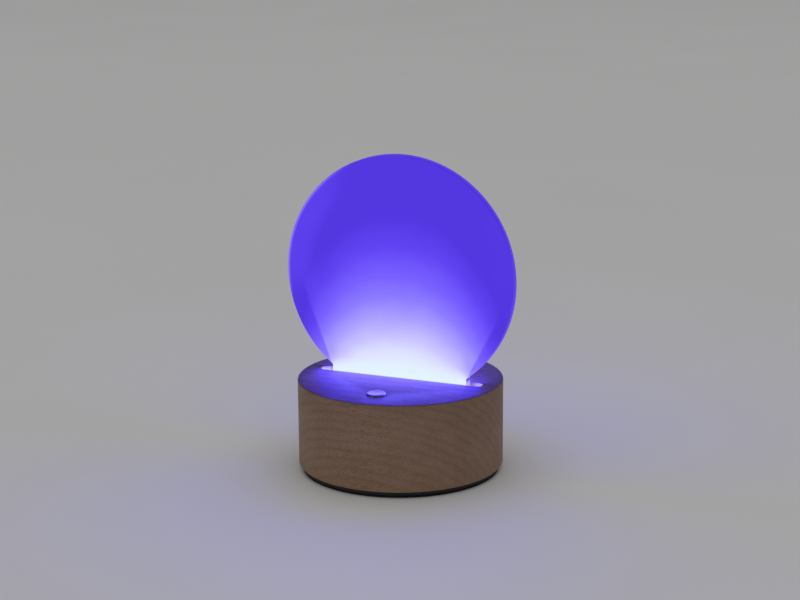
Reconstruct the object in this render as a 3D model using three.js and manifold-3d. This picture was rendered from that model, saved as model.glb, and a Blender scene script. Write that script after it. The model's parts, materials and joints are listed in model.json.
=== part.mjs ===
// Edge-lit disc lamp: a frosted acrylic disc stands in a slot across a round beech base that holds
// the LED strip, a push button, a rechargeable cell, the control board and a charging socket.
// Millimetres, +Z up. The origin is on the table under the middle of the base. X runs along the
// slot, and the button is at the front, towards -Y, with the charging socket at the back.
import * as THREE from "three";
import { mergeVertices } from "three/addons/utils/BufferGeometryUtils.js";
import Module from "manifold-3d";

const wasm = await Module();
wasm.setup();

// ---------------------------------------------------------------- driving dimensions

const FIT = 0.1; // gap left between two pieces that touch
const THROUGH = 1; // how far a cutting tool runs past the face it opens
const LAP = 0.2; // how far a piece starts inside the one it is joined to
const HOLE_SIDES = 12;

const BASE_RADIUS = 50;
const BASE_TOP = 45.5;
const WOOD_BOTTOM = 3;
const EDGE_ROUND = 0.9; // radius on the base's top edge
const BOTTOM_CHAMFER = 0.5;
const BASE_SEGMENTS = 96;
const CAVITY_RADIUS = 44;
const CEILING = 37.5; // underside of the base's top
const BOSS_RING = 40.5; // distance of the four wooden screw bosses from the axis
const BOSS_RADIUS = 5.5;
const BOSS_SIDES = 20;

const SLOT_LENGTH = 85;
const SLOT_WIDTH = 6;

const DISC_RADIUS = 58.8;
const DISC_CENTRE = 95.6; // height of the disc's middle
const DISC_THICKNESS = 5;
const DISC_CHAMFER = 0.4;
const TAB_WIDTH = 70.6; // the straight-sided foot of the disc that enters the slot
const TAB_BOTTOM = 36.5;

const BUTTON_X = 2;
const BUTTON_Y = -33.5;
const BUTTON_RADIUS = 4.65;
const BUTTON_HOLE = 4.95;
const BUTTON_PROUD = 0.9;
const BUTTON_TRAVEL = 0.6;
const BUTTON_FLANGE = 6.2;
const FLANGE_BOTTOM = 36.2;
const STEM_RADIUS = 2;
const STEM_BOTTOM = 35.6; // the button's stem rests on the switch's plunger
const PLUNGER_RADIUS = 1.7;
const PLUNGER_BOTTOM = 33.3;

const PAD_RADIUS = 48.2;
const PAD_INNER = 31;
const PAD_THICKNESS = 1.3;
const PLATE_RADIUS = 48.8;
const PLATE_TOP = WOOD_BOTTOM - FIT;
const PLATE_BOTTOM = PAD_THICKNESS;
const PLATE_CHAMFER = 0.4;
const PLATE_SINK = 3.05; // radius of the countersink at the plate's underside

const LIP_GAP = 0.3; // the plate's lip stands this far inside the cavity's wall
const LIP_WALL = 1.3;
const LIP_HEIGHT = 2;
const TRAY_HEIGHT = 3; // low walls on the plate, round the cell
const POST_RADIUS = 3;

const HOLDER_HALF_LENGTH = 42.9;
const HOLDER_HALF_WIDTH = 6;
const HOLDER_BOTTOM = 26.4;
const HOLDER_TOP = CEILING - FIT;
const CHANNEL_HALF_LENGTH = 41.4;
const CHANNEL_HALF_WIDTH = 4;
const CHANNEL_FLOOR = 28.4;
const EAR_HALF_WIDTH = 4;
const EAR_REACH = 13.2;
const EAR_BOTTOM = HOLDER_TOP - 2.5;
const STRIP_HALF_LENGTH = 40.9;
const STRIP_HALF_WIDTH = 3.6;
const STRIP_THICKNESS = 1.2;
const STRIP_TOP = CHANNEL_FLOOR + FIT + STRIP_THICKNESS;
const LED_COUNT = 10;
const LED_PITCH = 8.6;
const LED_SIZE = 5;
const LED_HEIGHT = 1.6;
const RIB_X = 34.2; // cross ribs that the disc's tab stands on
const RIB_THICKNESS = 1.8;

const CONTROL_BOTTOM = 10;
const CONTROL_TOP = 11.6;
const CONTROL_FRONT = 11;
const CONTROL_BACK = 38;
const CONTROL_HALF_WIDTH = 18;
const NECK_HALF_WIDTH = 7.5;
const NECK_BACK = 43.4;
const HEADER_DEPTH = 5.8;
const HEADER_HEIGHT = 7;
const PLUG_TOP = CONTROL_TOP + 8.7;
const LED_PLUG = { width: 12.4, x: 6.5, y: 29.5 };
const CELL_PLUG = { width: 7.4, x: 8.5, y: 19 };

const SOCKET_WIDTH = 8.94;
const SOCKET_HEIGHT = 3.26;
const SOCKET_MOUTH = 44.8;
const SOCKET_BACK = 37.6;
const SOCKET_Z = CONTROL_TOP + FIT + SOCKET_HEIGHT / 2;
const RECESS_WIDTH = 13.2; // the recess takes the grip of a charging plug
const RECESS_HEIGHT = 7.4;
const BEZEL_CORNER = 2.5;
const BEZEL_WALL = 1.1;
const BEZEL_FACE = 49.2;
const FLANGE_THICKNESS = 1.2;
const POCKET_BACK = 45.2;
const POCKET_HALF_WIDTH = 9.2;
const POCKET_ABOVE_SOCKET = 6.2;

const CELL_LENGTH = 40;
const CELL_WIDTH = 30;
const CELL_HEIGHT = 8;
const CELL_Y = -7;
const TAPE_THICKNESS = 0.7;
const CELL_BOTTOM = PLATE_TOP + FIT + TAPE_THICKNESS + FIT;

const BUTTON_BOARD_TOP = 30.5;
const BUTTON_BOARD_THICKNESS = 1.6;
const SWITCH_TOP = 34.05;
const SPACER_OFFSET = 9.4;

// Screws: radii of the shank and the head, the head's height, and the height of the tip.
const PLATE_SCREW = { shank: 1.4, head: 2.7, headHeight: 1.3, tip: 13.2 };
const HOLDER_SCREW = { shank: 1.25, head: 2.4, headHeight: 1.6, tip: 43 };
const BUTTON_SCREW = { shank: 1, head: 2, headHeight: 1.4, tip: 42 };
const BOARD_SCREW = { shank: 1.05, head: 2.3, headHeight: 1.5, tip: 5.2 };
const SCREW_GAP = 0.05; // between a screw's head and what it holds
const TIP_RADIUS = 0.2;
const CROSS_DEPTH = 0.8;
// Radii of the holes that the screws pass through or bite into.
const PLATE_HOLE = 1.65;
const PLATE_PILOT = 1.6;
const EAR_HOLE = 1.4;
const SPACER_HOLE = 1.15;
const BOARD_HOLE = 1.3;
const PILOT_SPARE = 0.5; // how far a pilot hole runs past the screw's tip

const WIRE_RADIUS = 0.5;

// ---------------------------------------------------------------- materials

const finish = (color, roughness, metalness = 0) =>
  new THREE.MeshStandardMaterial({ color, roughness, metalness });
const BEECH = finish(0xc99f74, 0.55);
const LIT_ACRYLIC = finish(0x6a55f0, 0.4);
LIT_ACRYLIC.emissive = new THREE.Color(0x3a25d0);
const NICKEL = finish(0xc4c4cc, 0.3, 1);
const BLACK_PLASTIC = finish(0x131314, 0.5);
const BLACK_FOAM = finish(0x0c0c0d, 0.9);
const WHITE_PLASTIC = finish(0xe8e8ea, 0.45);
const ZINC = finish(0xa9abb0, 0.35, 1);
const WHITE_BOARD = finish(0xe4e6e4, 0.4);
const GREEN_BOARD = finish(0x14532d, 0.4);
const LED_BODY = finish(0xf2f0ff, 0.3);
const CHIP = finish(0x1b1b1e, 0.5);
const CELL_FOIL = finish(0xb9bcc2, 0.35, 0.8);
const NYLON = finish(0xe9e4d6, 0.5);
const wireColour = {
  red: finish(0xb5201c, 0.5),
  black: finish(0x18181a, 0.5),
  green: finish(0x1f7a3a, 0.5),
  blue: finish(0x2449a8, 0.5),
  white: finish(0xdedede, 0.5),
  yellow: finish(0xc9a21a, 0.5),
};

// ---------------------------------------------------------------- shapes and solids

// Joins and cuts work on solids; a mesh is made from one at the end.
function solid(geometry) {
  const bare = geometry.clone();
  bare.deleteAttribute("normal");
  bare.deleteAttribute("uv");
  const merged = mergeVertices(bare, 1e-4);
  return new wasm.Manifold(
    new wasm.Mesh({
      numProp: 3,
      vertProperties: merged.attributes.position.array,
      triVerts: new Uint32Array(merged.index.array),
    }),
  );
}

function geometryOf(made) {
  const { vertProperties, triVerts } = made.getMesh();
  return new THREE.BufferGeometry()
    .setAttribute("position", new THREE.BufferAttribute(vertProperties, 3))
    .setIndex(new THREE.BufferAttribute(triVerts, 1));
}

const cut = (body, ...tools) => tools.reduce((left, tool) => left.subtract(tool), body);
const join = (...bodies) => bodies.reduce((all, body) => all.add(body));

function circle(radius, x = 0, y = 0) {
  return new THREE.Shape().absarc(x, y, radius, 0, 2 * Math.PI, false);
}

function roundedRectangle(width, height, radius) {
  const x = width / 2 - radius;
  const y = height / 2 - radius;
  return new THREE.Shape()
    .absarc(x, -y, radius, -Math.PI / 2, 0, false)
    .absarc(x, y, radius, 0, Math.PI / 2, false)
    .absarc(-x, y, radius, Math.PI / 2, Math.PI, false)
    .absarc(-x, -y, radius, Math.PI, 1.5 * Math.PI, false);
}

// An upright prism of a shape, from one height to another.
function prism(shape, bottom, top, curveSegments = 8) {
  const geometry = new THREE.ExtrudeGeometry(shape, {
    depth: top - bottom,
    bevelEnabled: false,
    curveSegments,
  });
  return solid(geometry.translate(0, 0, bottom));
}

// A prism that runs front to back, its shape drawn in X and Z around a middle height.
function deepPrism(shape, front, back, height, curveSegments = 4) {
  const geometry = new THREE.ExtrudeGeometry(shape, {
    depth: back - front,
    bevelEnabled: false,
    curveSegments,
  });
  return solid(geometry.rotateX(Math.PI / 2).translate(0, back, height));
}

function rod(radius, bottom, top, x = 0, y = 0, sides = 16) {
  const geometry = new THREE.CylinderGeometry(radius, radius, top - bottom, sides);
  return solid(geometry.rotateX(Math.PI / 2).translate(x, y, (bottom + top) / 2));
}

function cone(bottomRadius, topRadius, bottom, top, x = 0, y = 0, sides = 16) {
  const geometry = new THREE.CylinderGeometry(topRadius, bottomRadius, top - bottom, sides);
  return solid(geometry.rotateX(Math.PI / 2).translate(x, y, (bottom + top) / 2));
}

function block([left, right], [front, back], [bottom, top]) {
  const geometry = new THREE.BoxGeometry(right - left, back - front, top - bottom);
  return solid(
    geometry.translate((left + right) / 2, (front + back) / 2, (bottom + top) / 2),
  );
}

// A turned piece. The profile lists [radius, height] from the bottom of the axis to its top.
function turned(profile, segments) {
  const points = profile.map(([radius, height]) => new THREE.Vector2(radius, height));
  return solid(new THREE.LatheGeometry(points, segments).rotateX(Math.PI / 2));
}

// Points of a quarter circle in a turned profile, from one angle to another.
function arc(centreRadius, centreHeight, radius, from, to, steps) {
  return Array.from({ length: steps + 1 }, (_, i) => {
    const angle = from + ((to - from) * i) / steps;
    return [
      centreRadius + radius * Math.cos(angle),
      centreHeight + radius * Math.sin(angle),
    ];
  });
}

const lamp = new THREE.Group();

function add(name, made, material, [x, y, z] = [0, 0, 0]) {
  const mesh = new THREE.Mesh(geometryOf(made), material);
  mesh.name = name;
  mesh.position.set(x, y, z);
  lamp.add(mesh);
}

// ---------------------------------------------------------------- places that several pieces share

const quadrants = [45, 135, 225, 315].map((degrees) => (degrees * Math.PI) / 180);
const bossPlaces = quadrants.map((a) => [BOSS_RING * Math.cos(a), BOSS_RING * Math.sin(a)]);
const earPlaces = [
  [24, 9.6],
  [-24, 9.6],
  [-24, -9.6],
  [24, -9.6],
];
const postPlaces = [
  [15, 13.5],
  [-15, 13.5],
  [-15, 34.5],
  [15, 34.5],
];
const spacerPlaces = [
  [BUTTON_X - SPACER_OFFSET, BUTTON_Y],
  [BUTTON_X + SPACER_OFFSET, BUTTON_Y],
];
const ledPlaces = Array.from(
  { length: LED_COUNT },
  (_, i) => (i - (LED_COUNT - 1) / 2) * LED_PITCH,
);

// ---------------------------------------------------------------- the wooden base

function woodBody() {
  const outside = turned(
    [
      [0, WOOD_BOTTOM],
      [BASE_RADIUS - BOTTOM_CHAMFER, WOOD_BOTTOM],
      [BASE_RADIUS, WOOD_BOTTOM + BOTTOM_CHAMFER],
      ...arc(BASE_RADIUS - EDGE_ROUND, BASE_TOP - EDGE_ROUND, EDGE_ROUND, 0, Math.PI / 2, 3),
      [0, BASE_TOP],
    ],
    BASE_SEGMENTS,
  );
  const bosses = bossPlaces.map(([x, y]) => rod(BOSS_RADIUS, 0, BASE_TOP, x, y, BOSS_SIDES));
  const pocket = block(
    [-POCKET_HALF_WIDTH, POCKET_HALF_WIDTH],
    [CONTROL_BACK, POCKET_BACK],
    [0, SOCKET_Z + POCKET_ABOVE_SOCKET],
  );
  const cavity = join(
    cut(rod(CAVITY_RADIUS, 0, CEILING, 0, 0, BASE_SEGMENTS), ...bosses),
    pocket,
  );
  const slot = prism(
    roundedRectangle(SLOT_LENGTH, SLOT_WIDTH, SLOT_WIDTH / 2),
    CEILING - THROUGH,
    BASE_TOP + THROUGH,
    6,
  );
  const buttonHole = rod(BUTTON_HOLE, CEILING - THROUGH, BASE_TOP + THROUGH, BUTTON_X, BUTTON_Y, 32);
  const window = deepPrism(
    roundedRectangle(
      RECESS_WIDTH + 2 * (BEZEL_WALL + FIT),
      RECESS_HEIGHT + 2 * (BEZEL_WALL + FIT),
      BEZEL_CORNER + FIT,
    ),
    CONTROL_BACK,
    BASE_RADIUS + THROUGH,
    SOCKET_Z,
  );
  const pilot = (radius, bottom, tip) => ([x, y]) =>
    rod(radius, bottom, tip + PILOT_SPARE, x, y, HOLE_SIDES);
  const pilots = [
    ...bossPlaces.map(pilot(PLATE_PILOT, 0, PLATE_SCREW.tip)),
    ...earPlaces.map(pilot(EAR_HOLE, CEILING - THROUGH, HOLDER_SCREW.tip)),
    ...spacerPlaces.map(pilot(SPACER_HOLE, CEILING - THROUGH, BUTTON_SCREW.tip)),
  ];
  return cut(outside, cavity, slot, buttonHole, window, ...pilots);
}

// ---------------------------------------------------------------- the acrylic disc

// A circle cut off by a straight-sided tab. The outline is drawn in X and height.
function acrylicDisc() {
  const halfTab = TAB_WIDTH / 2 - DISC_CHAMFER;
  const radius = DISC_RADIUS - DISC_CHAMFER;
  const corner = Math.acos(halfTab / radius);
  const outline = new THREE.Shape();
  outline.moveTo(-halfTab, TAB_BOTTOM + DISC_CHAMFER - DISC_CENTRE);
  outline.lineTo(halfTab, TAB_BOTTOM + DISC_CHAMFER - DISC_CENTRE);
  outline.lineTo(halfTab, -radius * Math.sin(corner));
  outline.absarc(0, 0, radius, -corner, Math.PI + corner, false);
  outline.closePath();
  const geometry = new THREE.ExtrudeGeometry(outline, {
    depth: DISC_THICKNESS - 2 * DISC_CHAMFER,
    bevelEnabled: true,
    bevelSegments: 1,
    bevelThickness: DISC_CHAMFER,
    bevelSize: DISC_CHAMFER,
    curveSegments: 44,
  });
  geometry.translate(0, 0, -DISC_THICKNESS / 2 + DISC_CHAMFER);
  return solid(geometry.rotateX(Math.PI / 2));
}

// ---------------------------------------------------------------- the button and its switch

// A dished cap on a shaft, with a flange that stops against the ceiling.
function buttonCap() {
  const top = BASE_TOP + BUTTON_PROUD;
  const dishDepth = 0.35;
  const rim = 0.5;
  const dishFloor = 1.5;
  const profile = [
    [0, STEM_BOTTOM],
    [STEM_RADIUS, STEM_BOTTOM],
    [STEM_RADIUS, FLANGE_BOTTOM],
    [BUTTON_FLANGE, FLANGE_BOTTOM],
    [BUTTON_FLANGE, CEILING - FIT],
    [BUTTON_RADIUS, CEILING - FIT],
    [BUTTON_RADIUS, top - rim],
    [BUTTON_RADIUS - rim, top],
    [BUTTON_RADIUS - 2 * rim, top],
    [BUTTON_RADIUS - 3 * rim, top - 0.6 * dishDepth],
    [dishFloor, top - dishDepth],
    [0, top - dishDepth],
  ];
  return turned(profile, 32);
}

function switchPlunger() {
  return rod(PLUNGER_RADIUS, PLUNGER_BOTTOM, STEM_BOTTOM - FIT, BUTTON_X, BUTTON_Y);
}

// The plunger's well is deeper than the plunger by more than the button's travel.
function tactSwitch() {
  const half = 3;
  const body = block(
    [BUTTON_X - half, BUTTON_X + half],
    [BUTTON_Y - half, BUTTON_Y + half],
    [BUTTON_BOARD_TOP + FIT, SWITCH_TOP],
  );
  const wellFloor = PLUNGER_BOTTOM - BUTTON_TRAVEL - FIT;
  return cut(body, rod(PLUNGER_RADIUS + FIT, wellFloor, SWITCH_TOP + THROUGH, BUTTON_X, BUTTON_Y));
}

function buttonBoard() {
  const [width, depth, corner] = [24.4, 11.2, 1.5];
  const bottom = BUTTON_BOARD_TOP - BUTTON_BOARD_THICKNESS;
  const board = prism(roundedRectangle(width, depth, corner), bottom, BUTTON_BOARD_TOP, 3);
  const holes = spacerPlaces.map(([x, y]) =>
    rod(SPACER_HOLE, bottom - THROUGH, BUTTON_BOARD_TOP + THROUGH, x, y, HOLE_SIDES),
  );
  return cut(board.translate([BUTTON_X, BUTTON_Y, 0]), ...holes);
}

function buttonSpacer([x, y]) {
  const radius = 2.4;
  return cut(
    rod(radius, BUTTON_BOARD_TOP + FIT, CEILING - FIT, x, y),
    rod(SPACER_HOLE, BUTTON_BOARD_TOP, CEILING, x, y, HOLE_SIDES),
  );
}

// ---------------------------------------------------------------- screws

// A pan-head screw driven upwards: its head is at the bottom, under what it holds.
function panScrewUp([x, y], held, { shank, head, headHeight, tip }) {
  const headTop = held - SCREW_GAP;
  const headBottom = headTop - headHeight;
  const shoulder = 0.5;
  const tipLength = 1.5;
  const pan = cut(
    join(
      rod(head, headBottom + shoulder, headTop, x, y),
      cone(head - 0.7, head, headBottom, headBottom + shoulder, x, y),
    ),
    crossRecess(x, y, headBottom - LAP, headBottom + CROSS_DEPTH, 0.55 * head),
  );
  return join(
    pan,
    rod(shank, headTop - 0.1, tip - tipLength, x, y, HOLE_SIDES),
    cone(shank, TIP_RADIUS, tip - tipLength, tip, x, y, HOLE_SIDES),
  );
}

function crossRecess(x, y, bottom, top, reach) {
  const half = 0.32;
  return join(
    block([x - reach, x + reach], [y - half, y + half], [bottom, top]),
    block([x - half, x + half], [y - reach, y + reach], [bottom, top]),
  );
}

// A countersunk screw driven up through the base plate into a wooden boss.
function plateScrew([x, y]) {
  const { shank, head, headHeight, tip } = PLATE_SCREW;
  const headBottom = PLATE_BOTTOM + SCREW_GAP;
  const headTop = headBottom + headHeight;
  const tipLength = 1.6;
  return join(
    cut(
      cone(head, shank, headBottom, headTop, x, y, BOSS_SIDES),
      crossRecess(x, y, headBottom - LAP, headBottom + CROSS_DEPTH, shank),
    ),
    rod(shank, headTop - 0.1, tip - tipLength, x, y, HOLE_SIDES),
    cone(shank, TIP_RADIUS, tip - tipLength, tip, x, y, HOLE_SIDES),
  );
}

// A pan-head screw driven down through the control board into its post.
function boardScrew([x, y]) {
  const { shank, head, headHeight, tip } = BOARD_SCREW;
  const headBottom = CONTROL_TOP + FIT;
  const headTop = headBottom + headHeight;
  const shoulder = 0.5;
  const tipLength = 1;
  const pan = cut(
    join(
      rod(head, headBottom, headTop - shoulder, x, y),
      cone(head, head - 0.7, headTop - shoulder, headTop, x, y),
    ),
    crossRecess(x, y, headTop - CROSS_DEPTH, headTop + LAP, 0.55 * head),
  );
  return join(
    pan,
    rod(shank, tip + tipLength, headBottom + 0.1, x, y, HOLE_SIDES),
    cone(TIP_RADIUS, shank, tip, tip + tipLength, x, y, HOLE_SIDES),
  );
}

// ---------------------------------------------------------------- the foot

function basePlate() {
  const sheet = turned(
    [
      [0, PLATE_BOTTOM],
      [PLATE_RADIUS - PLATE_CHAMFER, PLATE_BOTTOM],
      [PLATE_RADIUS, PLATE_BOTTOM + PLATE_CHAMFER],
      [PLATE_RADIUS, PLATE_TOP],
      [0, PLATE_TOP],
    ],
    BASE_SEGMENTS,
  );
  const lipRadius = CAVITY_RADIUS - LIP_GAP;
  const lip = cut(
    rod(lipRadius, PLATE_TOP - LAP, PLATE_TOP + LIP_HEIGHT, 0, 0, BASE_SEGMENTS),
    rod(lipRadius - LIP_WALL, PLATE_TOP - 1, PLATE_TOP + LIP_HEIGHT + 1, 0, 0, BASE_SEGMENTS),
    ...bossPlaces.map(([x, y]) => rod(BOSS_RADIUS + 0.4, 0, 8, x, y, BOSS_SIDES)),
  );
  const posts = postPlaces.map(([x, y]) =>
    rod(POST_RADIUS, PLATE_TOP - LAP, CONTROL_BOTTOM - FIT, x, y),
  );
  const postHoles = postPlaces.map(([x, y]) =>
    rod(SPACER_HOLE, BOARD_SCREW.tip - LAP, CONTROL_BOTTOM, x, y, HOLE_SIDES),
  );
  const screwHoles = bossPlaces.map(([x, y]) =>
    join(
      rod(PLATE_HOLE, 0, PLATE_TOP + THROUGH, x, y, BOSS_SIDES),
      cone(PLATE_SINK, PLATE_HOLE, PLATE_BOTTOM - 0.15, PLATE_TOP - 0.15, x, y, BOSS_SIDES),
    ),
  );
  return cut(join(sheet, lip, cellTray(), ...posts), ...postHoles, ...screwHoles);
}

// Low walls that keep the cell in place, with a gap where its leads come out.
function cellTray() {
  const [outer, inner] = [3, 0.8]; // how much larger than the cell
  const walls = cut(
    prism(
      roundedRectangle(CELL_LENGTH + outer, CELL_WIDTH + outer, 1.5),
      PLATE_TOP - LAP,
      PLATE_TOP + TRAY_HEIGHT,
      2,
    ),
    prism(
      roundedRectangle(CELL_LENGTH + inner, CELL_WIDTH + inner, 1),
      PLATE_TOP,
      PLATE_TOP + TRAY_HEIGHT + THROUGH,
      2,
    ),
  ).translate([0, CELL_Y, 0]);
  const leadGap = block(
    [15, 26],
    [CELL_Y - 5, CELL_Y + 5],
    [PLATE_TOP + 1, PLATE_TOP + TRAY_HEIGHT + THROUGH],
  );
  return cut(walls, leadGap);
}

// A non-slip ring with a hole under each screw, so that the plate comes off without peeling it.
function footPad() {
  const screwAccess = 3.6;
  return cut(
    rod(PAD_RADIUS, 0, PAD_THICKNESS - 0.05, 0, 0, BASE_SEGMENTS),
    rod(PAD_INNER, -THROUGH, 2, 0, 0, 48),
    ...bossPlaces.map(([x, y]) => rod(screwAccess, -THROUGH, 2, x, y, BOSS_SIDES)),
  );
}

// ---------------------------------------------------------------- the light box under the slot

function ledHolder() {
  const trough = block(
    [-HOLDER_HALF_LENGTH, HOLDER_HALF_LENGTH],
    [-HOLDER_HALF_WIDTH, HOLDER_HALF_WIDTH],
    [HOLDER_BOTTOM, HOLDER_TOP],
  );
  const channel = block(
    [-CHANNEL_HALF_LENGTH, CHANNEL_HALF_LENGTH],
    [-CHANNEL_HALF_WIDTH, CHANNEL_HALF_WIDTH],
    [CHANNEL_FLOOR, HOLDER_TOP + THROUGH],
  );
  const ears = earPlaces.map(([x, y]) => {
    const inner = HOLDER_HALF_WIDTH - 0.5;
    const reach = y > 0 ? [inner, EAR_REACH] : [-EAR_REACH, -inner];
    return block([x - EAR_HALF_WIDTH, x + EAR_HALF_WIDTH], reach, [EAR_BOTTOM, HOLDER_TOP]);
  });
  const earHoles = earPlaces.map(([x, y]) =>
    rod(EAR_HOLE, EAR_BOTTOM - THROUGH, HOLDER_TOP + THROUGH, x, y, HOLE_SIDES),
  );
  const ribs = [-RIB_X, RIB_X].map((x) =>
    block(
      [x - RIB_THICKNESS / 2, x + RIB_THICKNESS / 2],
      [-CHANNEL_HALF_WIDTH - LAP, CHANNEL_HALF_WIDTH + LAP],
      [STRIP_TOP + FIT, TAB_BOTTOM - FIT],
    ),
  );
  const [holeHalfLength, holeHalfWidth] = [1.4, 3.4];
  const wireHole = block(
    [RIB_X - holeHalfLength, RIB_X + holeHalfLength],
    [-holeHalfWidth, holeHalfWidth],
    [HOLDER_BOTTOM - THROUGH, CHANNEL_FLOOR + THROUGH],
  );
  return cut(join(cut(trough, channel), ...ears, ...ribs), ...earHoles, wireHole);
}

function ledBoard() {
  return block(
    [-STRIP_HALF_LENGTH, STRIP_HALF_LENGTH],
    [-STRIP_HALF_WIDTH, STRIP_HALF_WIDTH],
    [CHANNEL_FLOOR + FIT, STRIP_TOP],
  );
}

// One package with a round well for its clear lens.
function led() {
  const half = LED_SIZE / 2;
  const body = block([-half, half], [-half, half], [0, LED_HEIGHT]);
  const [wellFloor, wellMouth, wellDepth] = [1.6, 2.1, 0.6];
  return cut(body, cone(wellFloor, wellMouth, LED_HEIGHT - wellDepth, LED_HEIGHT + 0.1));
}

// ---------------------------------------------------------------- the control board and its parts

function controlBoard() {
  const main = block(
    [-CONTROL_HALF_WIDTH, CONTROL_HALF_WIDTH],
    [CONTROL_FRONT, CONTROL_BACK],
    [CONTROL_BOTTOM, CONTROL_TOP],
  );
  const neck = block(
    [-NECK_HALF_WIDTH, NECK_HALF_WIDTH],
    [CONTROL_BACK - LAP, NECK_BACK],
    [CONTROL_BOTTOM, CONTROL_TOP],
  );
  const holes = postPlaces.map(([x, y]) =>
    rod(BOARD_HOLE, CONTROL_BOTTOM - THROUGH, CONTROL_TOP + THROUGH, x, y, HOLE_SIDES),
  );
  return cut(join(main, neck), ...holes);
}

const onBoard = (width, depth, height, x, y) =>
  block(
    [x - width / 2, x + width / 2],
    [y - depth / 2, y + depth / 2],
    [CONTROL_TOP + FIT, CONTROL_TOP + FIT + height],
  );

// An open-topped pin header and the plug that sits in it.
function wireHeader({ width, x, y }) {
  const wall = 0.7;
  const outside = onBoard(width, HEADER_DEPTH, HEADER_HEIGHT, x, y);
  const halfWidth = width / 2 - wall;
  const halfDepth = HEADER_DEPTH / 2 - wall;
  const inside = block(
    [x - halfWidth, x + halfWidth],
    [y - halfDepth, y + halfDepth],
    [CONTROL_TOP + FIT + 1, CONTROL_TOP + HEADER_HEIGHT + 2],
  );
  return cut(outside, inside);
}

// The plug's body goes down into the header, and its head stays above it.
function wirePlug({ width, x, y }) {
  const part = (inset, bottom) =>
    block(
      [x - width / 2 + inset, x + width / 2 - inset],
      [y - HEADER_DEPTH / 2 + inset, y + HEADER_DEPTH / 2 - inset],
      [CONTROL_TOP + bottom, PLUG_TOP],
    );
  return join(part(0.9, 1.3), part(0.4, 7.4));
}

function socketShell() {
  const wall = 0.3;
  const corner = 1.4;
  return cut(
    deepPrism(roundedRectangle(SOCKET_WIDTH, SOCKET_HEIGHT, corner), SOCKET_BACK, SOCKET_MOUTH, SOCKET_Z),
    deepPrism(
      roundedRectangle(SOCKET_WIDTH - 2 * wall, SOCKET_HEIGHT - 2 * wall, corner - wall),
      SOCKET_BACK - THROUGH,
      SOCKET_MOUTH + THROUGH,
      SOCKET_Z,
    ),
  );
}

// The insulating block at the back of the socket and the tongue that carries its contacts.
function socketTongue() {
  const inset = 0.8; // how much smaller than the shell's outside, so that it stays clear of its wall
  const [halfWidth, halfThickness, setBack] = [3.35, 0.35, 0.7];
  return join(
    deepPrism(
      roundedRectangle(SOCKET_WIDTH - inset, SOCKET_HEIGHT - inset, 1),
      SOCKET_BACK + FIT,
      SOCKET_BACK + 2,
      SOCKET_Z,
    ),
    block(
      [-halfWidth, halfWidth],
      [SOCKET_BACK + 1.5, SOCKET_MOUTH - setBack],
      [SOCKET_Z - halfThickness, SOCKET_Z + halfThickness],
    ),
  );
}

// A plastic cup set into the wood, pushed in from the inside until its flange stops it.
function portBezel() {
  const backWall = SOCKET_MOUTH + FIT;
  const cup = deepPrism(
    roundedRectangle(RECESS_WIDTH + 2 * BEZEL_WALL, RECESS_HEIGHT + 2 * BEZEL_WALL, BEZEL_CORNER),
    backWall - LAP,
    BEZEL_FACE,
    SOCKET_Z,
  );
  const flange = deepPrism(
    roundedRectangle(RECESS_WIDTH + 4.4, RECESS_HEIGHT + 4, BEZEL_CORNER),
    backWall - FLANGE_THICKNESS,
    backWall,
    SOCKET_Z,
  );
  const recess = deepPrism(
    roundedRectangle(RECESS_WIDTH, RECESS_HEIGHT, 1.5),
    backWall,
    BEZEL_FACE + THROUGH,
    SOCKET_Z,
  );
  const mouth = deepPrism(
    roundedRectangle(SOCKET_WIDTH + 0.4, SOCKET_HEIGHT + 0.4, 1.6),
    backWall - FLANGE_THICKNESS - THROUGH,
    backWall + THROUGH,
    SOCKET_Z,
  );
  return cut(join(cup, flange), recess, mouth);
}

// ---------------------------------------------------------------- the cell

// A pouch cell with softened edges, drawn lying on its widest face.
function batteryCell() {
  const bevel = 1.6;
  const geometry = new THREE.ExtrudeGeometry(
    roundedRectangle(CELL_LENGTH - 2 * bevel, CELL_WIDTH - 2 * bevel, 1),
    {
      depth: CELL_HEIGHT - 2 * bevel,
      bevelEnabled: true,
      bevelThickness: bevel,
      bevelSize: bevel,
      bevelSegments: 3,
      curveSegments: 2,
    },
  );
  return solid(geometry.translate(0, CELL_Y, CELL_BOTTOM + bevel));
}

function batteryTape() {
  const bottom = PLATE_TOP + FIT;
  const [halfLength, halfWidth] = [16, 9];
  return block(
    [-halfLength, halfLength],
    [CELL_Y - halfWidth, CELL_Y + halfWidth],
    [bottom, bottom + TAPE_THICKNESS],
  );
}

// ---------------------------------------------------------------- wires

function wire(points, steps = 16) {
  const path = new THREE.CatmullRomCurve3(points.map((p) => new THREE.Vector3(...p)));
  const sides = 6;
  const section = new THREE.Shape(
    Array.from({ length: sides }, (_, i) => {
      const angle = (i * 2 * Math.PI) / sides;
      return new THREE.Vector2(WIRE_RADIUS * Math.cos(angle), WIRE_RADIUS * Math.sin(angle));
    }),
  );
  return solid(new THREE.ExtrudeGeometry(section, { extrudePath: path, steps, bevelEnabled: false }));
}

const WIRE_GAP = 0.3; // between a wire's end and what it is joined to
const wireEnd = PLUG_TOP + WIRE_GAP;

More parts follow.
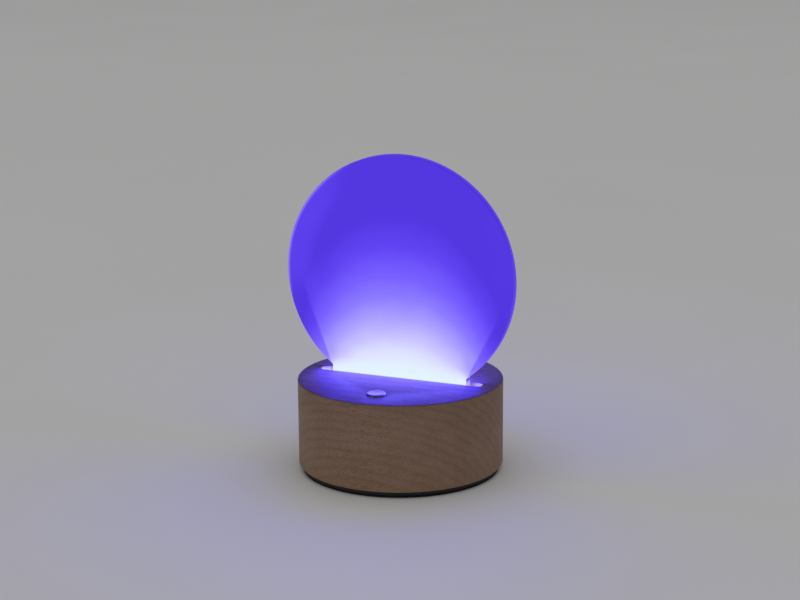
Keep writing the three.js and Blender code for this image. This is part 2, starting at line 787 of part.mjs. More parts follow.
// The strip's leads drop through the holder's floor and run to the four-way plug.
function ledLead(i) {
  const [padPitch, pinPitch] = [1.7, 2.5];
  const y = (i - 1.5) * padPitch;
  const x = LED_PLUG.x + (i - 1.5) * pinPitch;
  return wire([
    [RIB_X, y, CHANNEL_FLOOR + FIT - WIRE_GAP],
    [RIB_X, y, 25.4],
    [RIB_X - 2.5, y + 2, 23],
    [(RIB_X + x) / 2, (y + LED_PLUG.y) / 2, 22.5 - 0.3 * i],
    [x + 1.5, LED_PLUG.y - 2.5, 23.4],
    [x, LED_PLUG.y, 22.4],
    [x, LED_PLUG.y, wireEnd],
  ]);
}

const cellEnd = CELL_LENGTH / 2 + 0.4;
const pinHalfPitch = 1.25;
const cellLeads = {
  red: [
    [cellEnd, CELL_Y - 2.5, 7.2],
    [cellEnd + 3, CELL_Y - 2, 8.6],
    [cellEnd + 4, -1, 15],
    [19, 9, 19.4],
    [11.8, 16.8, 22.6],
    [CELL_PLUG.x + pinHalfPitch, CELL_PLUG.y, 22.4],
    [CELL_PLUG.x + pinHalfPitch, CELL_PLUG.y, wireEnd],
  ],
  black: [
    [cellEnd, CELL_Y + 2.5, 7.2],
    [cellEnd + 1.8, CELL_Y + 3.2, 9.5],
    [cellEnd + 1.2, 3, 15],
    [15.5, 10, 18.4],
    [8.6, 16.6, 22],
    [CELL_PLUG.x - pinHalfPitch, CELL_PLUG.y, 22],
    [CELL_PLUG.x - pinHalfPitch, CELL_PLUG.y, wireEnd],
  ],
};

const padZ = CONTROL_TOP + WIRE_GAP;
const boardUnder = BUTTON_BOARD_TOP - BUTTON_BOARD_THICKNESS - WIRE_GAP;
const buttonLeads = {
  yellow: [
    [BUTTON_X - 1.5, BUTTON_Y + 3.9, boardUnder],
    [BUTTON_X - 1.5, BUTTON_Y + 4.2, 26],
    [-1, -24, 22.5],
    [-6, -8, 19],
    [-9.5, 6, 17.5],
    [-9.9, 12.2, 15],
    [-9.6, 13, padZ],
  ],
  white: [
    [BUTTON_X + 1.5, BUTTON_Y + 3.9, boardUnder],
    [BUTTON_X + 1.5, BUTTON_Y + 4.3, 26],
    [1.5, -23, 23.5],
    [-4, -6, 20.8],
    [-8, 9, 19],
    [-9.4, 14.9, 16],
    [-9.6, 15.6, padZ],
  ],
};

// ---------------------------------------------------------------- assembly

add("wood_body", woodBody(), BEECH);
add("acrylic_disc", acrylicDisc(), LIT_ACRYLIC, [0, 0, DISC_CENTRE]);
add("button_cap", buttonCap(), NICKEL, [BUTTON_X, BUTTON_Y, 0]);
add("switch_plunger", switchPlunger(), CHIP);
add("base_plate", basePlate(), BLACK_PLASTIC);
add("foot_pad", footPad(), BLACK_FOAM);
add("port_bezel", portBezel(), BLACK_PLASTIC);
bossPlaces.forEach((place, i) => add(`plate_screw_${i + 1}`, plateScrew(place), ZINC));

add("led_holder", ledHolder(), WHITE_PLASTIC);
add("led_board", ledBoard(), WHITE_BOARD);
ledPlaces.forEach((x, i) => add(`led_${i + 1}`, led(), LED_BODY, [x, 0, STRIP_TOP + 0.05]));
earPlaces.forEach((place, i) =>
  add(`holder_screw_${i + 1}`, panScrewUp(place, EAR_BOTTOM, HOLDER_SCREW), ZINC),
);

add("button_board", buttonBoard(), GREEN_BOARD);
add("tact_switch", tactSwitch(), CHIP);
spacerPlaces.forEach((place, i) => {
  const boardBottom = BUTTON_BOARD_TOP - BUTTON_BOARD_THICKNESS;
  add(`button_spacer_${i + 1}`, buttonSpacer(place), NYLON);
  add(`button_screw_${i + 1}`, panScrewUp(place, boardBottom, BUTTON_SCREW), ZINC);
});

add("control_board", controlBoard(), GREEN_BOARD);
postPlaces.forEach((place, i) => add(`board_screw_${i + 1}`, boardScrew(place), ZINC));
add("socket_shell", socketShell(), ZINC);
add("socket_tongue", socketTongue(), CHIP);
add("charge_chip", onBoard(5, 4, 1.5, -9, 29), CHIP);
add("control_chip", onBoard(10, 4, 1.5, -9.5, 21), CHIP);
add("inductor", onBoard(5, 5, 3, -4.5, 14.5), CHIP);
add("capacitor", rod(2.5, CONTROL_TOP + FIT, CONTROL_TOP + 7, -0.5, 21, 20), CELL_FOIL);
add("led_header", wireHeader(LED_PLUG), NYLON);
add("led_plug", wirePlug(LED_PLUG), NYLON);
add("cell_header", wireHeader(CELL_PLUG), NYLON);
add("cell_plug", wirePlug(CELL_PLUG), NYLON);

add("battery_tape", batteryTape(), WHITE_PLASTIC);
add("battery_cell", batteryCell(), CELL_FOIL);

["black", "red", "green", "blue"].forEach((colour, i) =>
  add(`led_lead_${colour}`, ledLead(i), wireColour[colour]),
);
Object.entries(cellLeads).forEach(([colour, points]) =>
  add(`cell_lead_${colour}`, wire(points), wireColour[colour]),
);
Object.entries(buttonLeads).forEach(([colour, points]) =>
  add(`button_lead_${colour}`, wire(points), wireColour[colour]),
);

export default lamp;
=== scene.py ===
"""An edge-lit acrylic disc lamp on a round beech base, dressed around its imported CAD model."""

import json
import math

import bpy
from mathutils import Matrix, Vector

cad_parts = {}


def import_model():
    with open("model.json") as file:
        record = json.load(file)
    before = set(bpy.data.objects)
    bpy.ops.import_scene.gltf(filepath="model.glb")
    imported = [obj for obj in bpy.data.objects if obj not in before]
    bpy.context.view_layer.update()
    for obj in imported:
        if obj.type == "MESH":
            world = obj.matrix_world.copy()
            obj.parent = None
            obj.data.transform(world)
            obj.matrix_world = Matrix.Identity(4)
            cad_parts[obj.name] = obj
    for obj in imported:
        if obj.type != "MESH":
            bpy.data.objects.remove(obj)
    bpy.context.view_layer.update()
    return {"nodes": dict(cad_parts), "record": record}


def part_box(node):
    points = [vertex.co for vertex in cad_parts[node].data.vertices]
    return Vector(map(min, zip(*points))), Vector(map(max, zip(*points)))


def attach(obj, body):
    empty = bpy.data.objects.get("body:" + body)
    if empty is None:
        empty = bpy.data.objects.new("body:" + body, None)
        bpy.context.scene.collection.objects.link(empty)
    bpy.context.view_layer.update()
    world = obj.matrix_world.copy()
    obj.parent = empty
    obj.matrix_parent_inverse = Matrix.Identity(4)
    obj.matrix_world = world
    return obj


MM = 0.001

# The camera stands off the part's +X side of the front and looks slightly down.
CAMERA_AZIMUTH = math.radians(23.37)
CAMERA_PITCH = math.radians(13.67)
CAMERA_ROLL = math.radians(-0.35)
CAMERA_DISTANCE = 0.8828
CAMERA_HEIGHT = 0.2983
LENS = 84.8

# Driving sizes of the disc, in millimetres.
DISC_RADIUS = 58.8
DISC_CENTRE = 95.6
HALF_TAB = 35.3
TAB_CORNER = 48.3  # about where the tab's straight side meets the round edge

# The glow's display colour against the distance that glow_height gives, in millimetres.
GLOW_SPAN = 110.0
GLOW = [
    (1.5, (225, 244, 255)),
    (6.5, (226, 239, 255)),
    (10.5, (224, 230, 255)),
    (14.5, (216, 218, 255)),
    (19.5, (200, 195, 255)),
    (29.5, (169, 157, 255)),
    (39.5, (137, 120, 251)),
    (49.5, (116, 91, 251)),
    (64.5, (90, 59, 236)),
    (79.0, (75, 44, 217)),
    (105.0, (71, 40, 209)),
]

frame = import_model()
BASE_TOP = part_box("wood_body")[1].z / MM


def linear(*display):
    """A display colour, 0 to 255, as the linear one that a shader takes."""

    def one(value):
        c = value / 255
        return c / 12.92 if c <= 0.04045 else ((c + 0.055) / 1.055) ** 2.4

    return tuple(one(value) for value in display) + (1.0,)


# ---------------------------------------------------------------- shader building


class Graph:
    """A material with one Principled shader, and short calls for the nodes that feed it."""

    def __init__(self, name, base, roughness, metallic=0.0, **sockets):
        self.material = bpy.data.materials.new(name)
        self.material.use_nodes = True
        self.tree = self.material.node_tree
        self.shader = self.tree.nodes["Principled BSDF"]
        self.set("Base Color", base)
        self.set("Roughness", roughness)
        self.set("Metallic", metallic)
        for socket, value in sockets.items():
            self.set(socket.replace("_", " "), value)

    def set(self, socket, value):
        self.plug(self.shader.inputs[socket], value)

    def plug(self, socket, value):
        if isinstance(value, bpy.types.NodeSocket):
            self.tree.links.new(value, socket)
        else:
            socket.default_value = value

    def node(self, kind, inputs=(), **properties):
        made = self.tree.nodes.new("ShaderNode" + kind)
        for name, value in properties.items():
            setattr(made, name, value)
        for key, value in dict(inputs).items():
            self.plug(made.inputs[key], value)
        return made

    def math(self, operation, *values):
        return self.node("Math", enumerate(values), operation=operation).outputs[0]

    def add(self, *values):
        total = values[0]
        for value in values[1:]:
            total = self.math("ADD", total, value)
        return total

    def times(self, *values):
        total = values[0]
        for value in values[1:]:
            total = self.math("MULTIPLY", total, value)
        return total

    def fade(self, value, start, end, low=0.0, high=1.0):
        """A smooth step from low at start to high at end."""
        made = self.node(
            "MapRange",
            {0: value, 1: start, 2: end, 3: low, 4: high},
            interpolation_type="SMOOTHSTEP",
        )
        return made.outputs[0]

    def length(self, first, second):
        """The length of a vector with these two components."""
        return self.math("SQRT", self.add(self.times(first, first), self.times(second, second)))

    def mix(self, factor, first, second):
        return self.node("MixRGB", {0: factor, 1: first, 2: second}).outputs[0]

    def ramp(self, factor, stops):
        made = self.node("ValToRGB", {0: factor})
        elements = made.color_ramp.elements
        while len(elements) < len(stops):
            elements.new(0.5)
        for element, (position, colour) in zip(elements, stops):
            element.position = position
            element.color = colour
        return made.outputs[0]

    def millimetres(self, stretch=(1, 1, 1)):
        """Object coordinates in millimetres, each divided by its stretch."""
        coordinates = self.node("TexCoord").outputs["Object"]
        scale = tuple(1 / (MM * s) for s in stretch)
        made = self.node("Mapping", {"Vector": coordinates, "Scale": scale})
        return made.outputs[0]

    def axes(self, vector):
        return self.node("SeparateXYZ", {0: vector}).outputs

    def noise(self, vector, scale, detail=2.0, roughness=0.5):
        made = self.node(
            "TexNoise",
            {"Vector": vector, "Scale": scale, "Detail": detail, "Roughness": roughness},
        )
        return made.outputs[0]

    def bump(self, height, distance, strength=1.0):
        made = self.node(
            "Bump", {"Height": height, "Distance": distance, "Strength": strength}
        )
        self.set("Normal", made.outputs[0])


# ---------------------------------------------------------------- materials


BEECH = {
    "early_ring": (0.505, 0.330, 0.215, 1),
    "late_ring": (0.440, 0.277, 0.174, 1),
    "fibre": (0.400, 0.240, 0.145, 1),
    "cloud": (0.570, 0.390, 0.265, 1),
    "fleck": (0.270, 0.140, 0.070, 1),
    "pore": (0.300, 0.165, 0.090, 1),
    "mark": (0.090, 0.045, 0.025, 1),
}
PITH_AHEAD = 92  # the tree's middle: millimetres in front of the base's axis, and below its foot
PITH_BELOW = 60
RING_RATE = 1.55  # radians of the ring wave per millimetre
RING_SWAY = 6.0  # radians
MARK_CENTRE = (18.5, -38.0)
MARK_HALF_SIZE = (1.5, 0.5)


def beech():
    """Turned beech, its grain running along X, with ray flecks and fine pores."""
    g = Graph("beech", (0.5, 0.33, 0.21, 1), 0.5, Specular_IOR_Level=0.25)
    x, y, z = g.axes(g.millimetres())
    from_pith = g.length(g.add(y, PITH_AHEAD), g.add(z, PITH_BELOW))
    sway = g.noise(g.millimetres((40, 12, 12)), 1.0, 2.0)
    phase = g.add(g.times(from_pith, RING_RATE), g.times(sway, RING_SWAY))
    rings = g.fade(g.math("SINE", phase), -0.4, 1.0)
    fibres = g.noise(g.millimetres((14, 1, 1)), 1.9, 3.0, 0.6)
    cloud = g.noise(g.millimetres((30, 9, 9)), 1.0, 1.5)
    rays = g.noise(g.millimetres((2.6, 0.42, 0.42)), 1.35, 0.0)
    flecks = g.fade(rays, 0.655, 0.735)
    pores = g.fade(g.noise(g.millimetres((0.9, 0.22, 0.22)), 1.2, 1.0), 0.60, 0.72)
    colour = g.mix(rings, BEECH["early_ring"], BEECH["late_ring"])
    colour = g.mix(g.fade(fibres, 0.38, 0.72), colour, BEECH["fibre"])
    colour = g.mix(g.fade(cloud, 0.35, 0.70, 0.0, 0.35), colour, BEECH["cloud"])
    colour = g.mix(g.times(flecks, 0.72), colour, BEECH["fleck"])
    colour = g.mix(g.times(pores, 0.35), colour, BEECH["pore"])
    colour = g.mix(beech_mark(g, x, y), colour, BEECH["mark"])
    g.set("Base Color", colour)
    g.set("Roughness", g.fade(fibres, 0.3, 0.8, 0.46, 0.62))
    relief = g.add(g.times(fibres, 0.6), g.times(pores, -0.5), g.times(flecks, -0.35))
    g.bump(relief, 0.00006, 0.55)
    return g.material


def beech_mark(g, x, y):
    """A dark spindle in the grain, seen on the base's top."""
    along = g.math("DIVIDE", g.add(x, -MARK_CENTRE[0]), MARK_HALF_SIZE[0])
    across = g.math("DIVIDE", g.add(y, -MARK_CENTRE[1]), MARK_HALF_SIZE[1])
    distance = g.add(g.times(along, along), g.times(across, across))
    return g.fade(distance, 1.1, 0.4, 0.0, 0.85)


FAN_EDGE_RIGHT = math.radians(27.5)  # how far from upright the bright fan spreads at each side
FAN_EDGE_LEFT = math.radians(21.0)
FAN_OFF_MIDDLE = 30.0  # at this distance from the fan's middle its colours sink by FAN_SINK
FAN_SINK = 10.5
FAN_POWER = 2.6
SECTOR_SINK = 11.0  # how far they sink in the dim sectors
CORNER_SINK = 5.0
DIMMEST = 84.0


def glow_height(g, x, z):
    """How far a point of the disc is from the light, in millimetres: its height above the base
    top, and more towards the sides and in the dim sectors beyond the tab's two corners."""
    side = g.math("ABSOLUTE", x)
    height = g.add(z, -BASE_TOP)
    past_tab = g.add(side, -HALF_TAB)
    past_corner = g.add(z, -TAB_CORNER)
    off_middle = g.math("POWER", g.math("DIVIDE", side, FAN_OFF_MIDDLE), FAN_POWER)
    sink = g.times(off_middle, FAN_SINK, g.fade(height, 0.0, 9.0, 0.3, 1.0))
    angle = g.math("ARCTAN2", past_tab, past_corner)
    fan_edge = g.fade(x, 1.0, -1.0, FAN_EDGE_RIGHT, FAN_EDGE_LEFT)
    beyond = g.math("SUBTRACT", angle, fan_edge)
    dim = g.fade(beyond, math.radians(-1.6), math.radians(2.2), 0.0, SECTOR_SINK)
    corner = g.fade(angle, math.radians(-70), math.radians(20), 0.0, CORNER_SINK)
    near = g.add(g.math("ABSOLUTE", past_tab), past_corner)
    corner = g.times(corner, g.fade(near, 16.0, 2.0))
    return g.math("MINIMUM", g.add(height, sink, dim, corner), DIMMEST)


# The colour of a painted highlight along the rim, towards the left of each face.
RIM_PAINTED_HIGHLIGHT = linear(128, 104, 248)
THIN_LINE_GLOW = linear(120, 96, 244)
# Painted shade on the tab's polished straight sides, and painted light from the slot on their
# lowest part.
TAB_SIDE_PAINTED_SHADE = linear(70, 54, 178)
TAB_SIDE_PAINTED_SLOT_LIGHT = linear(178, 163, 252)


def lit_acrylic():
    """Frosted acrylic lit from its lower edge: near-white at the slot, violet-blue above, with a
    brighter arc towards the left of each face, a painted highlight along the rim there, and
    painted shade with painted slot light on the tab's straight sides."""
    g = Graph("lit_acrylic", (0.050, 0.040, 0.200, 1), 0.5, Specular_IOR_Level=0.18)
    x, y, z = g.axes(g.millimetres())
    radius = g.length(x, g.add(z, -DISC_CENTRE))
    inset = g.math("SUBTRACT", DISC_RADIUS, radius)
    seen_x = g.times(x, g.math("SIGN", g.times(y, -1.0)))  # to the right, facing that face
    on_face = g.fade(g.math("ABSOLUTE", y), 2.0, 2.2)
    arc = g.times(
        on_face,
        g.fade(radius, 38.0, 53.0),
        g.fade(z, 74.0, 98.0),
        g.add(g.fade(seen_x, -14.0, -44.0, 0.0, 14.0), g.fade(seen_x, 22.0, 48.0, 0.0, 6.0)),
    )
    mottle = g.fade(g.noise(g.millimetres((9, 9, 9)), 1.0, 3.0), 0.3, 0.7, -0.6, 0.6)
    reach = g.add(glow_height(g, x, z), g.times(arc, -1.0), mottle)
    stops = [(h / GLOW_SPAN, linear(*colour)) for h, colour in GLOW]
    glow = g.ramp(g.math("DIVIDE", reach, GLOW_SPAN), stops)
    # A painted highlight: the rim's chamfer made brighter towards the left of each face, as if it
    # caught the light.
    rim = g.times(
        on_face,
        g.fade(inset, 1.5, 0.8),
        g.fade(seen_x, -22.0, -46.0),
        g.fade(z, 78.0, 96.0),
    )
    glow = g.mix(g.times(rim, 0.9), glow, RIM_PAINTED_HIGHLIGHT)
    thin_line = g.times(
        g.fade(inset, 0.55, 0.25, 0.0, 0.25),
        g.fade(z, 50.0, 60.0),
        g.fade(seen_x, 10.0, -22.0),
    )
    glow = g.mix(thin_line, glow, THIN_LINE_GLOW)
    # Painted shade on the tab's straight sides, turning into painted light from the slot close to
    # the base top.
    tab_side = g.times(
        g.fade(g.math("ABSOLUTE", x), HALF_TAB - 0.20, HALF_TAB - 0.05),
        g.fade(z, TAB_CORNER + 0.2, TAB_CORNER - 0.2),
    )
    side_shade_and_slot_light = g.mix(g.fade(z, 47.8, 46.0), TAB_SIDE_PAINTED_SHADE, TAB_SIDE_PAINTED_SLOT_LIGHT)
    g.set("Emission Color", g.mix(tab_side, glow, side_shade_and_slot_light))
    g.set("Emission Strength", 1.0)
    g.bump(g.noise(g.millimetres(), 5.5, 2.0), 0.000015, 0.6)
    return g.material


def satin_metal(name, colour, roughness, turned_marks=False):
    """Satin metal, with fine turning marks about the button's own axis if asked for."""
    g = Graph(name, colour, roughness, 1.0)
    grain = g.noise(g.millimetres(), 3.0, 3.0)
    g.set("Roughness", g.fade(grain, 0.3, 0.7, roughness - 0.06, roughness + 0.08))
    relief = g.times(grain, 0.5)
    if turned_marks:
        low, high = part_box("button_cap")
        middle = (low + high) / 2 / MM
        x, y, _ = g.axes(g.millimetres())
        ring = g.length(g.add(x, -middle.x), g.add(y, -middle.y))
        relief = g.add(relief, g.times(g.math("SINE", g.times(ring, 26.0)), 0.5))
    g.bump(relief, 0.00001, 0.5)
    return g.material


def moulded(name, colour, roughness, grain=3.5, depth=0.00002):
    """Moulded plastic or rubber with a fine even texture and a slight change of tone."""
    g = Graph(name, colour, roughness)
    texture = g.noise(g.millimetres(), grain, 3.0)
    drift = g.noise(g.millimetres((12, 12, 12)), 1.0, 2.0)
    dark = tuple(0.82 * c for c in colour[:3]) + (1.0,)
    g.set("Base Color", g.mix(g.fade(drift, 0.35, 0.7), colour, dark))
    g.set("Roughness", g.fade(texture, 0.3, 0.7, roughness - 0.05, roughness + 0.06))
    g.bump(texture, depth, 0.7)
    return g.material


def circuit(name, colour):
    """Solder mask over faint copper tracks."""
    g = Graph(name, colour, 0.35)
    x, y, _ = g.axes(g.millimetres())
    tracks = g.math("SINE", g.times(g.add(x, g.times(y, 0.35)), 3.2))
    mask = g.fade(tracks, 0.55, 0.8, 0.0, 0.5)
    light = tuple(min(1.0, 1.9 * c + 0.01) for c in colour[:3]) + (1.0,)
    g.set("Base Color", g.mix(mask, colour, light))
    g.bump(mask, 0.00003, 0.5)
    return g.material


def lit_lens():
    """The lit, slightly cloudy lens of an LED."""
    g = Graph("led_lens", (0.80, 0.78, 0.95, 1), 0.3)
    shade = g.noise(g.millimetres(), 2.0, 1.0)
    g.set("Emission Color", g.mix(shade, (0.62, 0.58, 1.0, 1), (0.80, 0.80, 1.0, 1)))
    g.set("Emission Strength", 1.0)
    return g.material


MATERIALS = {
    "beech": beech(),
    "lit_acrylic": lit_acrylic(),
    # The button's satin metal is tinted lilac: a painted reflection of the disc's violet glow
    # over the metal's own colour.
    "button_metal": satin_metal("button_metal", (0.47, 0.43, 0.64, 1), 0.38, turned_marks=True),
    "black_plastic": moulded("black_plastic", (0.014, 0.014, 0.015, 1), 0.5),
    "black_rubber": moulded("black_rubber", (0.010, 0.010, 0.011, 1), 0.85, 2.0, 0.00005),
    "zinc_steel": satin_metal("zinc_steel", (0.62, 0.63, 0.66, 1), 0.34),
    "white_plastic": moulded("white_plastic", (0.82, 0.82, 0.85, 1), 0.4),
    "led_board_white": moulded("led_board_white", (0.80, 0.81, 0.80, 1), 0.45),
    "led_lens": lit_lens(),
    "circuit_green": circuit("circuit_green", (0.010, 0.085, 0.030, 1)),
    "black_parts": moulded("black_parts", (0.016, 0.016, 0.018, 1), 0.45),
    "nylon": moulded("nylon", (0.78, 0.74, 0.64, 1), 0.5),
    "cell_foil": satin_metal("cell_foil", (0.58, 0.59, 0.61, 1), 0.42),
    "tape_white": moulded("tape_white", (0.72, 0.72, 0.71, 1), 0.8, 1.5, 0.00006),
    "wire_black": moulded("wire_black", (0.016, 0.016, 0.017, 1), 0.42),
    "wire_red": moulded("wire_red", (0.42, 0.014, 0.011, 1), 0.42),
    "wire_green": moulded("wire_green", (0.015, 0.190, 0.042, 1), 0.42),
    "wire_blue": moulded("wire_blue", (0.018, 0.065, 0.380, 1), 0.42),
    "wire_yellow": moulded("wire_yellow", (0.55, 0.34, 0.014, 1), 0.42),
    "wire_white": moulded("wire_white", (0.68, 0.68, 0.68, 1), 0.42),
    "gold": satin_metal("gold", (0.83, 0.60, 0.24, 1), 0.25),
}


# ---------------------------------------------------------------- CAD surfaces


def crisp_shading(angle):
    """A node group that shades faces smooth and keeps edges steeper than angle sharp."""
    group = bpy.data.node_groups.new("crisp_shading", "GeometryNodeTree")
    group.interface.new_socket("Geometry", in_out="INPUT", socket_type="NodeSocketGeometry")
    group.interface.new_socket("Geometry", in_out="OUTPUT", socket_type="NodeSocketGeometry")
    nodes, links = group.nodes, group.links
    start, end = nodes.new("NodeGroupInput"), nodes.new("NodeGroupOutput")
    smooth_faces = nodes.new("GeometryNodeSetShadeSmooth")
    sharp_edges = nodes.new("GeometryNodeSetShadeSmooth")
    sharp_edges.domain = "EDGE"
    sharp_edges.inputs["Shade Smooth"].default_value = False
    steep = nodes.new("FunctionNodeCompare")
    steep.operation = "GREATER_THAN"
    steep.inputs[1].default_value = angle
    links.new(nodes.new("GeometryNodeInputMeshEdgeAngle").outputs[0], steep.inputs[0])
    links.new(steep.outputs[0], sharp_edges.inputs["Selection"])
    links.new(start.outputs[0], smooth_faces.inputs[0])
    links.new(smooth_faces.outputs[0], sharp_edges.inputs[0])
    links.new(sharp_edges.outputs[0], end.inputs[0])
    return group


CRISP = crisp_shading(math.radians(28))


def dress(piece, material, edge=0.0):
    """Gives a piece its material, smooth shading, and worn edges of a width in millimetres."""
    mesh = piece.data
    mesh.materials.clear()
    mesh.materials.append(material)
    if "custom_normal" in mesh.attributes:
        mesh.attributes.remove(mesh.attributes["custom_normal"])
    weld = piece.modifiers.new("weld", "WELD")
    weld.merge_threshold = 1e-6
    if edge:
        flat = piece.modifiers.new("flat", "DECIMATE")
        flat.decimate_type = "DISSOLVE"
        flat.angle_limit = math.radians(0.2)
        bevel = piece.modifiers.new("bevel", "BEVEL")
        bevel.width = edge * MM
        bevel.segments = 2
        bevel.limit_method = "ANGLE"
        bevel.angle_limit = math.radians(38)
    shading = piece.modifiers.new("shading", "NODES")
    shading.node_group = CRISP


EDGES = {
    "wood_body": 0.22,
    "base_plate": 0.12,
    "foot_pad": 0.15,
    "port_bezel": 0.15,
    "led_holder": 0.15,
    "button_cap": 0.08,
}

for row in frame["record"]["subparts"]:
    name = row["node"]
    dress(frame["nodes"][name], MATERIALS[row["material_slot"]], EDGES.get(name, 0.0))


# ---------------------------------------------------------------- pieces too fine for the CAD


BOX_FACES = [(0, 2, 3, 1), (4, 5, 7, 6), (0, 1, 5, 4), (1, 3, 7, 5), (3, 2, 6, 7), (2, 0, 4, 6)]


def new_piece(name, vertices, faces, material):
    mesh = bpy.data.meshes.new(name)
    mesh.from_pydata(vertices, [], faces)
    mesh.materials.append(material)
    piece = bpy.data.objects.new(name, mesh)
    bpy.context.scene.collection.objects.link(piece)
    return piece


def join_boxes(name, boxes, material, body):
    """One piece made of small blocks, each given as its lowest and highest corner."""
    vertices, faces = [], []
    for low, high in boxes:
        first = len(vertices)
        x_span, y_span, z_span = zip(low, high)
        vertices += [(x, y, z) for z in z_span for y in y_span for x in x_span]
        faces += [tuple(first + i for i in quad) for quad in BOX_FACES]
    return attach(new_piece(name, vertices, faces, material), body)


CONTACTS_PER_FACE = 8
CONTACT_PITCH = 0.78 * MM
CONTACT_HALF_WIDTH = 0.18 * MM
CONTACT_THICKNESS = 0.05 * MM
CONTACT_START = 3.6 * MM  # from the tongue's outer end
CONTACT_END = 0.35 * MM
HALF_TONGUE = 0.35 * MM


def socket_contacts():
    """Gold contacts on both faces of the charging socket's tongue."""
    low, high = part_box("socket_tongue")
    middle = (low.z + high.z) / 2
    start, end = high.y - CONTACT_START, high.y - CONTACT_END
    boxes = []
    for i in range(CONTACTS_PER_FACE):
        x = (i - (CONTACTS_PER_FACE - 1) / 2) * CONTACT_PITCH
        left, right = x - CONTACT_HALF_WIDTH, x + CONTACT_HALF_WIDTH
        for z in (middle - HALF_TONGUE - CONTACT_THICKNESS, middle + HALF_TONGUE):
            boxes.append(((left, start, z), (right, end, z + CONTACT_THICKNESS)))
    return join_boxes("socket_contacts", boxes, MATERIALS["gold"], "base")


LED_COUNT = 10
GEL_SIDES = 20
GEL_RINGS = [(1.52, -0.55), (1.95, -0.10), (1.2, 0.02)]  # radius, and height over the LED's top


def led_gel():
    """The clear gel that fills each LED's well."""
    vertices, faces = [], []
    for i in range(1, LED_COUNT + 1):
        low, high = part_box(f"led_{i}")
        x, y = (low.x + high.x) / 2, (low.y + high.y) / 2
        first = len(vertices)
        for radius, rise in GEL_RINGS:
            for k in range(GEL_SIDES):
                turn = math.tau * k / GEL_SIDES
                across, deep = radius * MM * math.cos(turn), radius * MM * math.sin(turn)
                vertices.append((x + across, y + deep, high.z + rise * MM))
        for ring in range(len(GEL_RINGS) - 1):
            for k in range(GEL_SIDES):
                a = first + ring * GEL_SIDES + k
                b = first + ring * GEL_SIDES + (k + 1) % GEL_SIDES
                faces.append((a, b, b + GEL_SIDES, a + GEL_SIDES))
        top = first + (len(GEL_RINGS) - 1) * GEL_SIDES
        faces.append(tuple(range(top, top + GEL_SIDES)))
        faces.append(tuple(reversed(range(first, first + GEL_SIDES))))
    piece = new_piece("led_gel", vertices, faces, MATERIALS["led_lens"])
    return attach(piece, "base")


socket_contacts()
led_gel()


# ---------------------------------------------------------------- light, floor and camera


def area_light(name, place, target, width, height, power, colour=(1, 1, 1)):
    data = bpy.data.lights.new(name, "AREA")
    data.shape = "RECTANGLE"
    data.size, data.size_y = width, height
    data.energy = power
    data.color = colour
    light = bpy.data.objects.new(name, data)
    bpy.context.scene.collection.objects.link(light)
    direction = Vector(target) - Vector(place)
    light.location = place
    light.rotation_mode = "QUATERNION"
    light.rotation_quaternion = direction.to_track_quat("-Z", "Y")
    light.visible_camera = False
    return light


def link_to_floor(light, stage, state):
    """Let the light reach the floor only, or everything but the floor."""
    receivers = bpy.data.collections.new(f"{light.name}_receivers")
    receivers.objects.link(stage)
    receivers.collection_objects[0].light_linking.link_state = state
    light.light_linking.receiver_collection = receivers


# Each softbox: name, place, width, power in watts, colour. Places and sizes are in metres.
SOFTBOXES = [
    ("key", (-2.1, -3.4, 0.75), 2.6, 8.5, (1.0, 0.97, 0.94)),
    ("fill", (3.4, -2.2, 0.70), 2.3, 4.6, (1.0, 0.96, 0.92)),
    ("back", (-1.0, 3.8, 0.80), 2.6, 5.6, (0.94, 0.96, 1.0)),
]
SOFTBOX_HEIGHT = 1.5
SOFTBOX_TARGET = (0, 0, 0.07)
OVERHEAD_RISE = 5
OVERHEAD_SIZE = 14
OVERHEAD_POWER = 380.0


def studio_lights(stage):
    """Low softboxes for the lamp alone and an overhead light for the floor alone, so that the
    base's top keeps the colour of the lamp's own glow and the floor is evenly lit."""
    for name, place, width, power, colour in SOFTBOXES:
        light = area_light(name, place, SOFTBOX_TARGET, width, SOFTBOX_HEIGHT, power, colour)
        link_to_floor(light, stage, "EXCLUDE")
    overhead = area_light(
        "overhead", (0, 0, OVERHEAD_RISE), (0, 0, 0), OVERHEAD_SIZE, OVERHEAD_SIZE, OVERHEAD_POWER
    )
    link_to_floor(overhead, stage, "INCLUDE")


DISC_BLUE = (0.020, 0.007, 1.0)
SLOT_BLUE = (0.13, 0.21, 1.0)
# Each glow of the disc's two faces: name, height over the base top, width, height, power.
DISC_GLOWS = [
    ("glow_low", 0.013, 0.086, 0.026, 0.046),
    ("glow_high", 0.055, 0.112, 0.060, 0.068),
]
GLOW_GAP = 0.05 * MM
RIM_LIGHT_X = 46 * MM
RIM_LIGHT_RISE = 0.010
SLOT_LIGHT_X = 40.8 * MM
SLOT_LIGHT_DEPTH = 0.003
SLOT_LIGHT_SIZE = 0.005
STRIP_RISE = 2.2 * MM


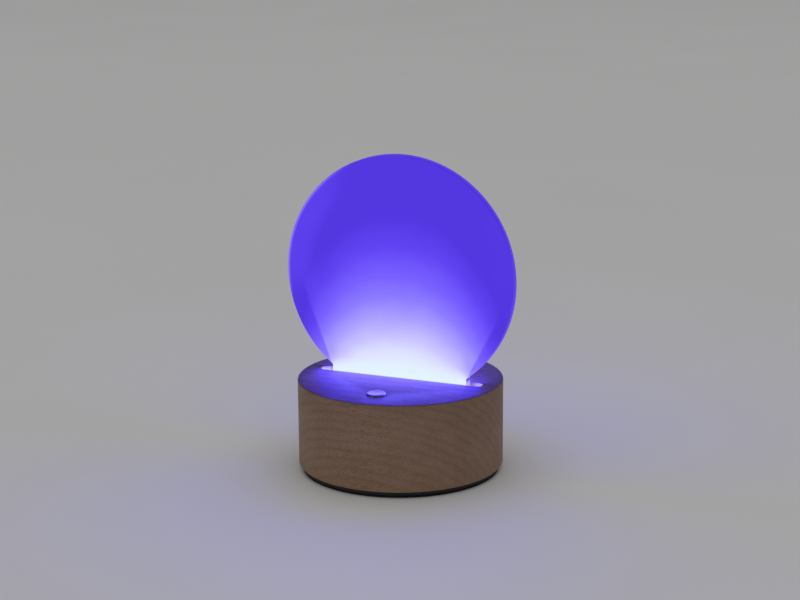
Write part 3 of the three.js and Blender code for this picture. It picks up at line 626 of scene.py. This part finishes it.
def lamp_lights():
    """The light that the disc throws on the base and floor, and what comes up from the strip."""
    low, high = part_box("acrylic_disc")
    top = BASE_TOP * MM
    for side, face in ((-1, low.y), (1, high.y)):
        y = face + side * GLOW_GAP
        for name, rise, width, height, power in DISC_GLOWS:
            place, target = (0, y, top + rise), (0, y + side, top + rise)
            glow = area_light(f"{name}_{side}", place, target, width, height, power, DISC_BLUE)
            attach(glow, "disc")
    for end in (-1, 1):
        place, target = (end * RIM_LIGHT_X, 0, top + RIM_LIGHT_RISE), (end * RIM_LIGHT_X, 0, 0)
        rim = area_light(f"rim_{end}", place, target, 0.008, 0.006, 0.0008, DISC_BLUE)
        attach(rim, "disc")
        x, z = end * SLOT_LIGHT_X, top - SLOT_LIGHT_DEPTH
        for side in (-1, 1):
            name = f"slot_{end}_{side}"
            size = SLOT_LIGHT_SIZE
            slot = area_light(name, (x, 0, z), (x, side, z), size, size, 0.0015, SLOT_BLUE)
            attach(slot, "base")
    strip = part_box("led_board")[1].z + STRIP_RISE
    area_light("strip", (0, 0, strip), (0, 0, 1), 0.080, 0.0055, 0.03, SLOT_BLUE)


FLOOR_SIZE = 30


def floor():
    bpy.ops.mesh.primitive_plane_add(size=FLOOR_SIZE)
    plane = bpy.context.object
    plane.name = "floor"
    g = Graph("pale_floor", (0.78, 0.77, 0.76, 1), 0.7, Specular_IOR_Level=0.2)
    soft = g.noise(g.millimetres((220, 220, 220)), 1.0, 2.0)
    g.set("Base Color", g.mix(soft, (0.76, 0.75, 0.74, 1), (0.80, 0.79, 0.78, 1)))
    plane.data.materials.append(g.material)
    return plane


def world():
    made = bpy.data.worlds.new("studio")
    made.use_nodes = True
    background = made.node_tree.nodes["Background"]
    background.inputs["Color"].default_value = (0.80, 0.82, 0.88, 1)
    background.inputs["Strength"].default_value = 0.05
    bpy.context.scene.world = made


def camera():
    data = bpy.data.cameras.new("camera")
    data.lens = LENS
    data.sensor_width = 36
    made = bpy.data.objects.new("camera", data)
    bpy.context.scene.collection.objects.link(made)
    place = Vector(
        (
            CAMERA_DISTANCE * math.sin(CAMERA_AZIMUTH),
            -CAMERA_DISTANCE * math.cos(CAMERA_AZIMUTH),
            CAMERA_HEIGHT,
        )
    )
    turn = (
        Matrix.Rotation(CAMERA_AZIMUTH, 4, "Z")
        @ Matrix.Rotation(math.pi / 2 - CAMERA_PITCH, 4, "X")
        @ Matrix.Rotation(CAMERA_ROLL, 4, "Z")
    )
    made.matrix_world = Matrix.Translation(place) @ turn
    bpy.context.scene.camera = made


camera()
studio_lights(floor())
lamp_lights()
world()
bpy.context.scene.view_settings.view_transform = "Standard"
bpy.context.scene.cycles.use_denoising = True
